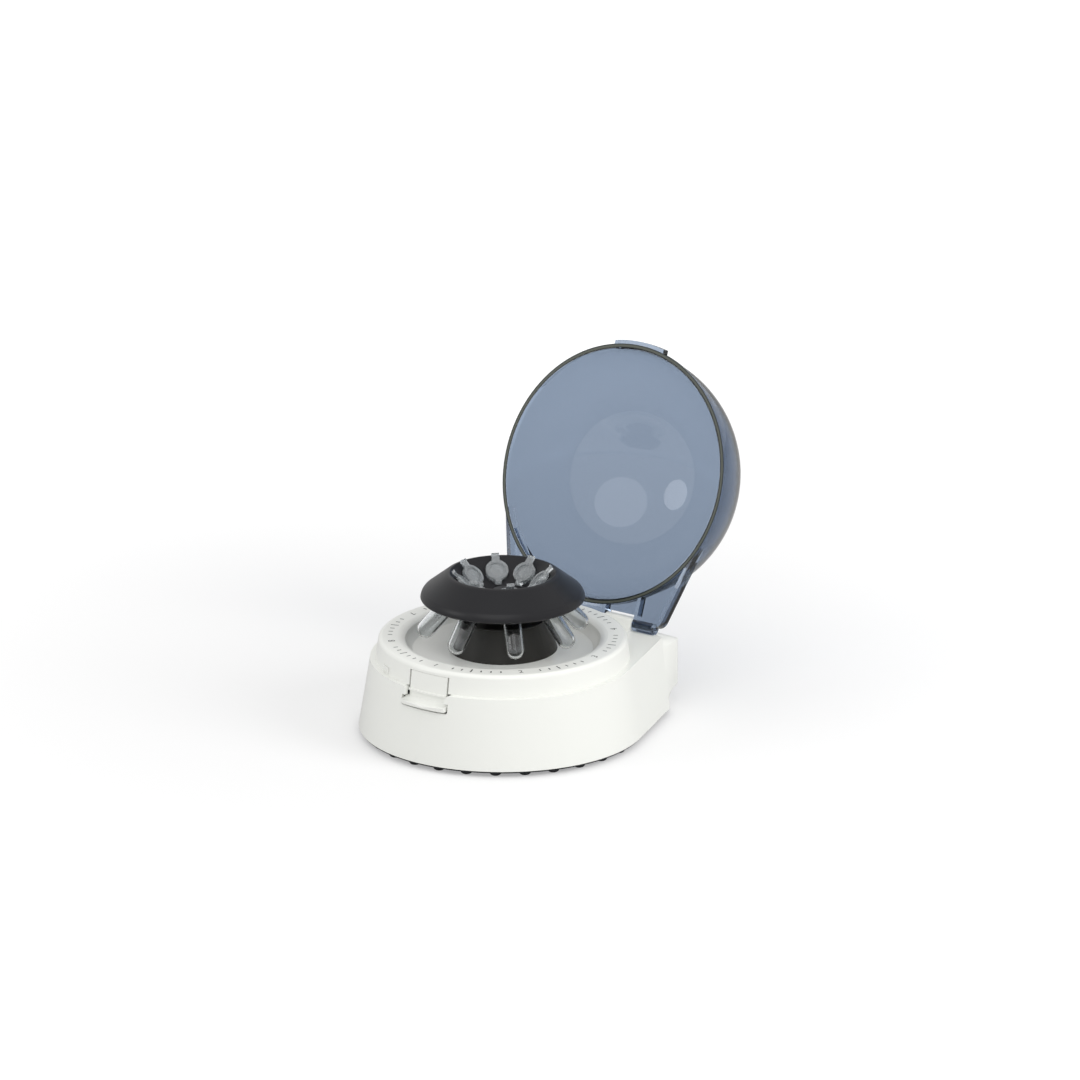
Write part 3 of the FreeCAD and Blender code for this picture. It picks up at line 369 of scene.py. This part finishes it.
@dataclass(frozen=True)
class TurnedMetal:
    """Steel with fine rings left by turning."""

    name: str
    colour: Colour
    roughness: float = 0.28
    unevenness: float = 0.15
    ring_scale: float = 700.0
    ring_waver: float = 0.6
    ring_depth: float = 0.000004
    ring_strength: float = 0.4
    haze_size: float = 0.004
    haze_detail: float = 3.0
    darkest: float = 0.92
    tone_range: float = 0.16

    def build(self) -> bpy.types.Material:
        """The finished material."""
        material = bpy.data.materials.new(self.name)
        sheet = NodeSheet(material)
        values = {
            "Vector": sheet.place(),
            "Scale": self.ring_scale,
            "Distortion": self.ring_waver,
        }
        rings = sheet.add(
            "ShaderNodeTexWave", {"wave_type": "RINGS"}, values, out="Fac"
        )
        haze = sheet.noise(self.haze_size, self.haze_detail)
        tone = self.darkest + haze * self.tone_range
        shader = sheet.principled(
            Base_Color=sheet.shade(self.colour, tone),
            Metallic=1.0,
            Roughness=self.roughness + (haze - MIDDLE) * self.unevenness,
            Normal=sheet.bump(rings, self.ring_depth, self.ring_strength),
        )
        sheet.finish(shader)
        return material


@dataclass(frozen=True)
class ClearPlastic:
    """See-through plastic that tints what is behind it and lets lamps through."""

    name: str
    tint: Colour
    lamp_tint: Colour
    roughness: float = 0.02
    ior: float = 1.45
    haze: float = 0.0
    unevenness: float = 0.5
    ripple_size: float = 0.02
    ripple_detail: float = 1.0
    ripple_depth: float = 0.00002
    ripple_strength: float = 0.15

    def build(self) -> bpy.types.Material:
        """The finished material."""
        material = bpy.data.materials.new(self.name)
        sheet = NodeSheet(material)
        ripple = sheet.noise(self.ripple_size, self.ripple_detail)
        spread = self.roughness * self.unevenness
        glass = sheet.principled(
            Base_Color=(*self.tint, 1),
            Roughness=self.roughness + ripple * spread,
            IOR=self.ior,
            Transmission_Weight=1.0 - self.haze,
            Normal=sheet.bump(ripple, self.ripple_depth, self.ripple_strength),
        )
        passing = sheet.add(
            "ShaderNodeBsdfTransparent", None, {"Color": (*self.lamp_tint, 1)}
        )
        mixed = sheet.add(
            "ShaderNodeMixShader",
            None,
            {0: sheet.light_path("Is Shadow Ray"), 1: glass, 2: passing},
        )
        sheet.finish(mixed)
        return material


@dataclass(frozen=True)
class CircuitBoard:
    """Green lacquered board with faint copper tracks."""

    name: str
    colour: Colour
    roughness: float = 0.35
    unevenness: float = 0.1
    track_scale: float = 260.0
    track_depth: float = 0.00003
    track_strength: float = 0.5
    track_tone: float = 0.5
    cloud_size: float = 0.006
    cloud_tone: float = 0.2
    darkest: float = 0.9

    def build(self) -> bpy.types.Material:
        """The finished material."""
        material = bpy.data.materials.new(self.name)
        sheet = NodeSheet(material)
        values = {"Vector": sheet.place(), "Scale": self.track_scale}
        tracks = sheet.add("ShaderNodeTexBrick", None, values, out="Fac")
        cloud = sheet.noise(self.cloud_size)
        tone = self.darkest + tracks * self.track_tone + cloud * self.cloud_tone
        shader = sheet.principled(
            Base_Color=sheet.shade(self.colour, tone),
            Roughness=self.roughness + cloud * self.unevenness,
            Normal=sheet.bump(tracks, self.track_depth, self.track_strength),
        )
        sheet.finish(shader)
        return material


WHITE_PLASTIC = MouldedPlastic(
    "white_plastic", from_screen(238, 239, 234), 0.32, drift=0.012, coat=0.15
)
FLOOR_PLASTIC = MouldedPlastic("floor_plastic", from_screen(38, 38, 40), 0.5)
FOOT_RUBBER = Rubber("foot_rubber", from_screen(34, 36, 38))
PEDESTAL_PLASTIC = MouldedPlastic(
    "pedestal_plastic", from_screen(34, 33, 30), 0.42, drift=0.05, sheen_level=0.3
)
ROTOR_PLASTIC = MouldedPlastic(
    "rotor_plastic", from_screen(28, 28, 31), 0.36, drift=0.05, sheen_level=0.3
)
SWITCH_PLASTIC = MouldedPlastic("switch_plastic", from_screen(28, 28, 30), 0.4)
MOTOR_STEEL = TurnedMetal("motor_steel", from_screen(176, 178, 180))
SHAFT_STEEL = TurnedMetal("shaft_steel", from_screen(200, 201, 204), 0.2)
SCREW_STEEL = TurnedMetal("screw_steel", from_screen(165, 166, 168), 0.35)
SMOKED_PLASTIC = ClearPlastic(
    "smoked_plastic",
    from_screen(134, 148, 167),
    from_screen(186, 194, 206),
    roughness=0.03,
)
TUBE_PLASTIC = ClearPlastic(
    "tube_plastic", from_screen(232, 234, 235), from_screen(235, 236, 238), 0.06
)
CAP_PLASTIC = ClearPlastic(
    "cap_plastic",
    from_screen(222, 226, 228),
    from_screen(225, 228, 230),
    0.12,
    haze=0.2,
)
BOARD_GREEN = CircuitBoard("board_green", from_screen(38, 92, 58))
PRINT_INK = MouldedPlastic("print_ink", from_screen(40, 42, 44), 0.5)
# Painted shade: an olive-dark band across the smoked lid's rim face and darker lines at
# its inner and outer edges stand in for how the rim darkens under the lamps.
RIM_BAND_PAINTED_SHADE = MouldedPlastic("rim_band_painted_shade", from_screen(80, 84, 76), 0.3, sheen_level=0.25)
RIM_SHADE = MouldedPlastic("rim_shade", from_screen(26, 32, 33), 0.3, sheen_level=0.25)


# ------------------------------------------------------------- mesh making
WELD_DISTANCE = 1e-7


def shape(
    name: str,
    points: Sequence[Sequence[float]],
    faces: Sequence[Sequence[int]],
    shaded: Shaded = Shaded.CREASED,
) -> bpy.types.Object:
    """A mesh object in the scene.

    Args:
        name: The piece's name.
        points: Its corners.
        faces: Each face's corners, by place.
        shaded: How it is shaded across edges.

    Returns:
        The object.
    """
    mesh = bpy.data.meshes.new(name)
    mesh.from_pydata([tuple(p) for p in points], [], [tuple(f) for f in faces])
    return finish_shape(name, mesh, shaded)


def finish_shape(
    name: str, mesh: bpy.types.Mesh, shaded: Shaded = Shaded.CREASED
) -> bpy.types.Object:
    """Turn a mesh's faces outwards, shade it and put it in the scene.

    Args:
        name: The piece's name.
        mesh: The mesh.
        shaded: How it is shaded across edges.

    Returns:
        The object.
    """
    work = bmesh.new()
    work.from_mesh(mesh)
    bmesh.ops.remove_doubles(work, verts=work.verts, dist=WELD_DISTANCE)
    bmesh.ops.recalc_face_normals(work, faces=work.faces)
    work.to_mesh(mesh)
    work.free()
    if shaded is Shaded.CREASED:
        mesh.shade_smooth()
        mesh.set_sharp_from_angle(angle=math.radians(shaded.value))
    piece = bpy.data.objects.new(name, mesh)
    bpy.context.scene.collection.objects.link(piece)
    return piece


def dress(piece: bpy.types.Object, material: bpy.types.Material) -> None:
    """Give a piece one material, whatever it had.

    Args:
        piece: The piece, or a CAD node.
        material: The material.
    """
    if not piece.material_slots:
        piece.data.materials.append(material)
    for slot in piece.material_slots:
        slot.material = material


def settle(
    piece: bpy.types.Object,
    body: Body,
    material: bpy.types.Material,
    stands_for: Sequence[str] = (),
) -> bpy.types.Object:
    """Dress a new piece and tie it to the frame.

    Args:
        piece: The piece.
        body: The CAD body that it moves with.
        material: The material.
        stands_for: The CAD nodes that it replaces.

    Returns:
        The piece.
    """
    dress(piece, material)
    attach(piece, body.value)
    if stands_for:
        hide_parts(*stands_for)
    LOG.info("%s rides on %s", piece.name, body.value)
    return piece


# ------------------------------------------------------------ sub-assemblies
@dataclass
class Housing:
    """The white housing with its cover, latch, mat and what it holds."""

    mark_radius: float = 60.4 * MILLIMETRE
    mark_rise: float = 0.03 * MILLIMETRE
    tick_long: float = 4.4 * MILLIMETRE
    tick_short: float = 2.4 * MILLIMETRE
    tick_width: float = 0.7 * MILLIMETRE
    figure_height: float = 5.4 * MILLIMETRE
    ticks: int = 72
    stations: int = 8

    def build(self, frame: Frame) -> None:
        """Dress the CAD nodes and print the ring's marks.

        Args:
            frame: The loaded frame.
        """
        nodes = frame["nodes"]
        finishes = {
            WHITE_PLASTIC: (
                "lower_housing",
                "top_cover",
                "latch_tongue",
                "lid_switch_button",
            ),
            FLOOR_PLASTIC: ("base_plate",),
            FOOT_RUBBER: ("foot_mat", "motor_dampers"),
            PEDESTAL_PLASTIC: ("motor_pedestal",),
            MOTOR_STEEL: ("motor_can", "motor_bracket"),
            SCREW_STEEL: ("motor_screws", "base_screws"),
            SHAFT_STEEL: ("hinge_pin_left", "hinge_pin_right"),
            SWITCH_PLASTIC: ("lid_switch", "board_components", "dc_jack"),
            BOARD_GREEN: ("control_board",),
        }
        for finish, names in finishes.items():
            material = finish.build()
            for name in names:
                dress(nodes[name], material)
        self.print_marks()

    def print_marks(self) -> None:
        """The plain ring of ticks and station numbers on the cover."""
        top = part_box("top_cover")[1].z + self.mark_rise
        ink = PRINT_INK.build()
        points: list[Vector] = []
        faces: list[tuple[int, ...]] = []
        step = self.ticks // self.stations
        for number in range(self.ticks):
            if number % step in (0, 1, step - 1):
                continue
            length = self.tick_long if number % step == step // 2 else self.tick_short
            turn = Matrix.Rotation(math.tau * number / self.ticks, 4, "Z")
            first = len(points)
            for along, across in ((-1, -1), (1, -1), (1, 1), (-1, 1)):
                corner = Vector(
                    (
                        self.mark_radius + along * length / 2,
                        across * self.tick_width / 2,
                        top,
                    )
                )
                points.append(turn @ corner)
            faces.append(tuple(range(first, first + 4)))
        marks = shape("cover_ticks", points, faces, Shaded.FLAT)
        settle(marks, Body.BASE, ink)
        for station in range(self.stations):
            turn = math.tau * station / self.stations - math.pi / 2
            self.print_figure(str(station + 1), turn, top, ink)

    def print_figure(
        self, text: str, turn: float, top: float, ink: bpy.types.Material
    ) -> None:
        """One station number, read from outside.

        Args:
            text: The number.
            turn: Its angle round the ring.
            top: The height that it lies at.
            ink: Its material.
        """
        curve = bpy.data.curves.new(f"station_{text}", "FONT")
        curve.body = text
        curve.size = self.figure_height
        curve.align_x = "CENTER"
        curve.align_y = "CENTER"
        figure = bpy.data.objects.new(f"station_{text}", curve)
        bpy.context.scene.collection.objects.link(figure)
        mesh = bpy.data.meshes.new_from_object(figure)
        bpy.data.objects.remove(figure)
        place = Vector(
            (
                self.mark_radius * math.cos(turn),
                self.mark_radius * math.sin(turn),
                top,
            )
        )
        mesh.transform(
            Matrix.Translation(place) @ Matrix.Rotation(turn + math.pi / 2, 4, "Z")
        )
        piece = finish_shape(f"station_{text}", mesh, Shaded.FLAT)
        settle(piece, Body.BASE, ink)


@dataclass
class RotorStack:
    """The rotor with its shaft, its clip and the eight capped tubes."""

    tubes: int = 8

    def build(self, frame: Frame) -> None:
        """Dress the rotor's CAD nodes.

        Args:
            frame: The loaded frame.
        """
        nodes = frame["nodes"]
        rotor = ROTOR_PLASTIC.build()
        dress(nodes["rotor_body"], rotor)
        dress(nodes["rotor_clip"], rotor)
        dress(nodes["rotor_shaft"], SHAFT_STEEL.build())
        tube, cap = TUBE_PLASTIC.build(), CAP_PLASTIC.build()
        for number in range(1, self.tubes + 1):
            dress(nodes[f"tube_{number}"], tube)
            dress(nodes[f"tube_cap_{number}"], cap)


@dataclass
class DomeLid:
    """The smoked dome lid with its ribbed tail.

    The dark edge that smoked plastic shows is painted shade: a set of thin dark rings
    on the rim's face. They are drawn with the lid shut and turned open about the hinge.
    """

    open_angle: float = 110.9
    hinge_depth: float = 76.8 * MILLIMETRE
    hinge_height: float = 44.9 * MILLIMETRE
    rim_height: float = 41.8 * MILLIMETRE
    rim_outer: float = 71.15 * MILLIMETRE
    rim_inner: float = 69.0 * MILLIMETRE
    line_width: float = 0.5 * MILLIMETRE
    skin: float = 0.03 * MILLIMETRE
    segments: int = 256
    dome_centre: float = 42.3 * MILLIMETRE
    dome_middle: float = 68.7 * MILLIMETRE
    crown_reach: float = 1.5 * MILLIMETRE

    def build(self, frame: Frame) -> None:
        """Dress the lid's CAD node and edge its rim with rings of painted shade.

        Args:
            frame: The loaded frame.
        """
        shell = self.smooth_crown(frame["nodes"]["lid"])
        settle(shell, Body.LID, SMOKED_PLASTIC.build(), ("lid",))
        # Painted shade: opaque dark rings on the rim's face, darkest at its inner and
        # outer edges.
        edge, shade = RIM_BAND_PAINTED_SHADE.build(), RIM_SHADE.build()
        inner, outer, line = self.rim_inner, self.rim_outer, self.line_width
        for name, near, far, material in (
            ("rim_outer_line", outer - line, outer, shade),
            ("rim_band", inner + line, outer - line, edge),
            ("rim_inner_line", inner, inner + line, shade),
        ):
            settle(self.ring(name, near, far), Body.LID, material)

    def opened(self) -> Matrix:
        """What turns the shut lid to where it rests open."""
        hinge = Vector((0, self.hinge_depth, self.hinge_height))
        turn = Matrix.Rotation(math.radians(-self.open_angle), 4, "X")
        return Matrix.Translation(hinge) @ turn @ Matrix.Translation(-hinge)

    def smooth_crown(self, node: bpy.types.Object) -> bpy.types.Object:
        """The CAD lid's mesh, shaded as a sphere where its faces meet at the crown.

        Faces without an area are left out, because they spoil the shading there.

        Args:
            node: The lid's CAD node.

        Returns:
            The shell that is seen in its place.
        """
        old = node.data
        opened = self.opened()
        centre = opened @ Vector((0, 0, self.dome_centre))
        crown = (opened.to_3x3() @ Vector((0, 0, 1))).normalized()
        tips: dict[int, Vector] = {}
        merged_into: dict[int, int] = {}
        for vertex in old.vertices:
            out = vertex.co - centre
            along = out.dot(crown)
            if along > 0 and (out - crown * along).length < self.crown_reach:
                side = 1.0 if out.length > self.dome_middle else -1.0
                same_side = (
                    index for index, tip in tips.items() if tip.dot(crown) * side > 0
                )
                first = next(same_side, vertex.index)
                merged_into[vertex.index] = first
                tips[vertex.index] = crown * side
        faces: list[tuple[int, ...]] = []
        normals: list[Vector] = []
        for face in old.polygons:
            indices = tuple(merged_into.get(index, index) for index in face.vertices)
            if len(set(indices)) < len(indices):
                continue
            faces.append(indices)
            for index, loop in zip(indices, face.loop_indices):
                kept = Vector(old.corner_normals[loop].vector)
                normals.append(tips.get(index, kept))
        mesh = bpy.data.meshes.new("lid_shell")
        mesh.from_pydata([vertex.co for vertex in old.vertices], [], faces)
        mesh.shade_smooth()
        mesh.normals_split_custom_set(normals)
        shell = bpy.data.objects.new("lid_shell", mesh)
        bpy.context.scene.collection.objects.link(shell)
        return shell

    def ring(self, name: str, near: float, far: float) -> bpy.types.Object:
        """A flat ring of painted shade just under the rim's face.

        Args:
            name: The piece's name.
            near: Its inner radius.
            far: Its outer radius.

        Returns:
            The ring.
        """
        points: list[tuple[float, float, float]] = []
        faces: list[tuple[int, ...]] = []
        low = self.rim_height - self.skin
        high = low + self.skin * 2
        for number in range(self.segments):
            turn = math.tau * number / self.segments
            east, north = math.cos(turn), math.sin(turn)
            for radius, height in ((near, low), (far, low), (far, high), (near, high)):
                points.append((radius * east, radius * north, height))
            following = (number + 1) % self.segments
            for side in range(4):
                across = (side + 1) % 4
                faces.append(
                    (number * 4 + side, number * 4 + across,
                     following * 4 + across, following * 4 + side)
                )
        band = shape(name, points, faces)
        band.data.transform(self.opened())
        return band


# ------------------------------------------------------------------ studio
@dataclass
class Lamp:
    """One round soft lamp that looks at the object.

    A lamp that isn't mirrored is seen neither in reflections nor through plastic.
    """

    name: str
    azimuth: float
    elevation: float
    distance: float
    width: float
    power: float
    colour: Colour = WHITE_LIGHT
    mirrored: bool = True

    def build(self, target: Vector) -> bpy.types.Object:
        """Hang the lamp.

        Args:
            target: The point that it looks at.

        Returns:
            The lamp.
        """
        data = bpy.data.lights.new(self.name, "AREA")
        data.shape = "DISK"
        data.size = self.width
        data.energy = self.power
        data.color = self.colour
        lamp = bpy.data.objects.new(self.name, data)
        bpy.context.scene.collection.objects.link(lamp)
        back = looking_back(self.azimuth, self.elevation)
        lamp.location = target + back * self.distance
        lamp.rotation_mode = "QUATERNION"
        lamp.rotation_quaternion = (-back).to_track_quat("-Z", "Y")
        lamp.visible_glossy = self.mirrored
        lamp.visible_transmission = self.mirrored
        return lamp


def looking_back(azimuth: float, elevation: float) -> Vector:
    """The direction from the object to a viewer.

    Args:
        azimuth: 0 in front, 90 at the right side, in degrees.
        elevation: Above the floor, in degrees.

    Returns:
        A unit vector.
    """
    turn, rise = math.radians(azimuth), math.radians(elevation)
    return Vector(
        (
            math.sin(turn) * math.cos(rise),
            -math.cos(turn) * math.cos(rise),
            math.sin(rise),
        )
    )


@dataclass
class Studio:
    """The floor, the surroundings, the lamps and the camera."""

    azimuth: float = 35.68
    elevation: float = 18.3
    distance: float = 4.0
    view_width: float = 578.66 * MILLIMETRE
    sensor: float = 36.0
    across: float = 19.9 * MILLIMETRE
    up: float = 58.5 * MILLIMETRE
    height: float = 45.3 * MILLIMETRE
    nearest: float = 0.1
    farthest: float = 60.0
    lamp_target: float = 0.06
    fill: float = 0.72
    full: float = 1.0
    floor_size: float = 40.0
    floor_colour: Colour = (0.6, 0.6, 0.6)
    floor_roughness: float = 0.9
    near_glow: float = 0.34
    far_glow: float = 0.86
    near_reach: float = 0.1
    far_reach: float = 1.2

    def build(self) -> None:
        """Set the stage."""
        self.colours_as_written()
        self.surroundings()
        self.lay_floor()
        self.hang_lamps()
        self.place_camera()

    def colours_as_written(self) -> None:
        """Show colours as they are written."""
        bpy.context.scene.view_settings.view_transform = "Standard"

    def surroundings(self) -> None:
        """A world that is white where it is seen and softer where it lights."""
        world = bpy.data.worlds.new("soft_room")
        bpy.context.scene.world = world
        sheet = NodeSheet(world)
        rays = {
            0: sheet.light_path("Is Camera Ray"),
            1: sheet.light_path("Is Transmission Ray"),
        }
        seen = sheet.add("ShaderNodeMath", {"operation": "MAXIMUM"}, rays)
        levels = {"Value": seen, "To Min": self.fill, "To Max": self.full}
        level = sheet.add("ShaderNodeMapRange", None, levels)
        values = {"Color": (*WHITE_LIGHT, 1), "Strength": level}
        glow = sheet.add("ShaderNodeBackground", None, values)
        sheet.finish(glow, "ShaderNodeOutputWorld")

    def lay_floor(self) -> None:
        """A plain pale floor that keeps the object's shadow."""
        half = self.floor_size / 2
        square = [
            (-half, -half, 0),
            (half, -half, 0),
            (half, half, 0),
            (-half, half, 0),
        ]
        floor = shape("floor", square, [(0, 1, 2, 3)], Shaded.FLAT)
        material = bpy.data.materials.new("pale_floor")
        sheet = NodeSheet(material)
        away = sheet.add(
            "ShaderNodeVectorMath", {"operation": "LENGTH"}, {0: sheet.place()}, "Value"
        )
        ranges = {
            "Value": away,
            "From Min": self.near_reach,
            "From Max": self.far_reach,
            "To Min": self.near_glow,
            "To Max": self.far_glow,
        }
        smooth = {"interpolation_type": "SMOOTHSTEP"}
        glow = sheet.add("ShaderNodeMapRange", smooth, ranges)
        camera_ray = sheet.light_path("Is Camera Ray")
        seen = camera_ray + sheet.light_path("Is Transmission Ray")
        shader = sheet.principled(
            Base_Color=(*self.floor_colour, 1),
            Roughness=self.floor_roughness,
            Specular_IOR_Level=0.0,
            Emission_Color=sheet.shade(WHITE_LIGHT, seen * glow),
            Emission_Strength=1.0,
        )
        sheet.finish(shader)
        dress(floor, material)

    def hang_lamps(self) -> None:
        """Three soft lamps."""
        target = Vector((0.0, 0.0, self.lamp_target))
        for lamp in (
            Lamp("key_lamp", 98, 30, 1.6, 0.9, 10.0, mirrored=False),
            Lamp("disc_lamp", 25, 47.6, 1.8, 1.63, 7.0),
            Lamp("left_lamp", -38, 26, 1.8, 0.8, 3.6),
        ):
            lamp.build(target)

    def place_camera(self) -> None:
        """The camera, far off and with a long lens."""
        turn = math.radians(self.azimuth)
        rise = math.radians(self.elevation)
        right = Vector((math.cos(turn), math.sin(turn), 0))
        upward = Vector(
            (
                -math.sin(turn) * math.sin(rise),
                math.cos(turn) * math.sin(rise),
                math.cos(rise),
            )
        )
        aim = Vector((0, 0, self.height)) + right * self.across + upward * self.up
        data = bpy.data.cameras.new("camera")
        data.sensor_width = self.sensor
        data.lens = self.sensor * self.distance / self.view_width
        data.clip_start, data.clip_end = self.nearest, self.farthest
        camera = bpy.data.objects.new("camera", data)
        bpy.context.scene.collection.objects.link(camera)
        back = looking_back(self.azimuth, self.elevation)
        camera.location = aim + back * self.distance
        camera.rotation_mode = "QUATERNION"
        camera.rotation_quaternion = (-back).to_track_quat("-Z", "Y")
        bpy.context.scene.camera = camera


def main() -> None:
    """Build everything round the frame."""
    logging.basicConfig(level=logging.INFO, format="%(name)s: %(message)s")
    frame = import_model()
    Studio().build()
    for part in (Housing(), RotorStack(), DomeLid()):
        part.build(frame)
        LOG.info("%s is built", type(part).__name__)


if __name__ == "__main__":
    main()
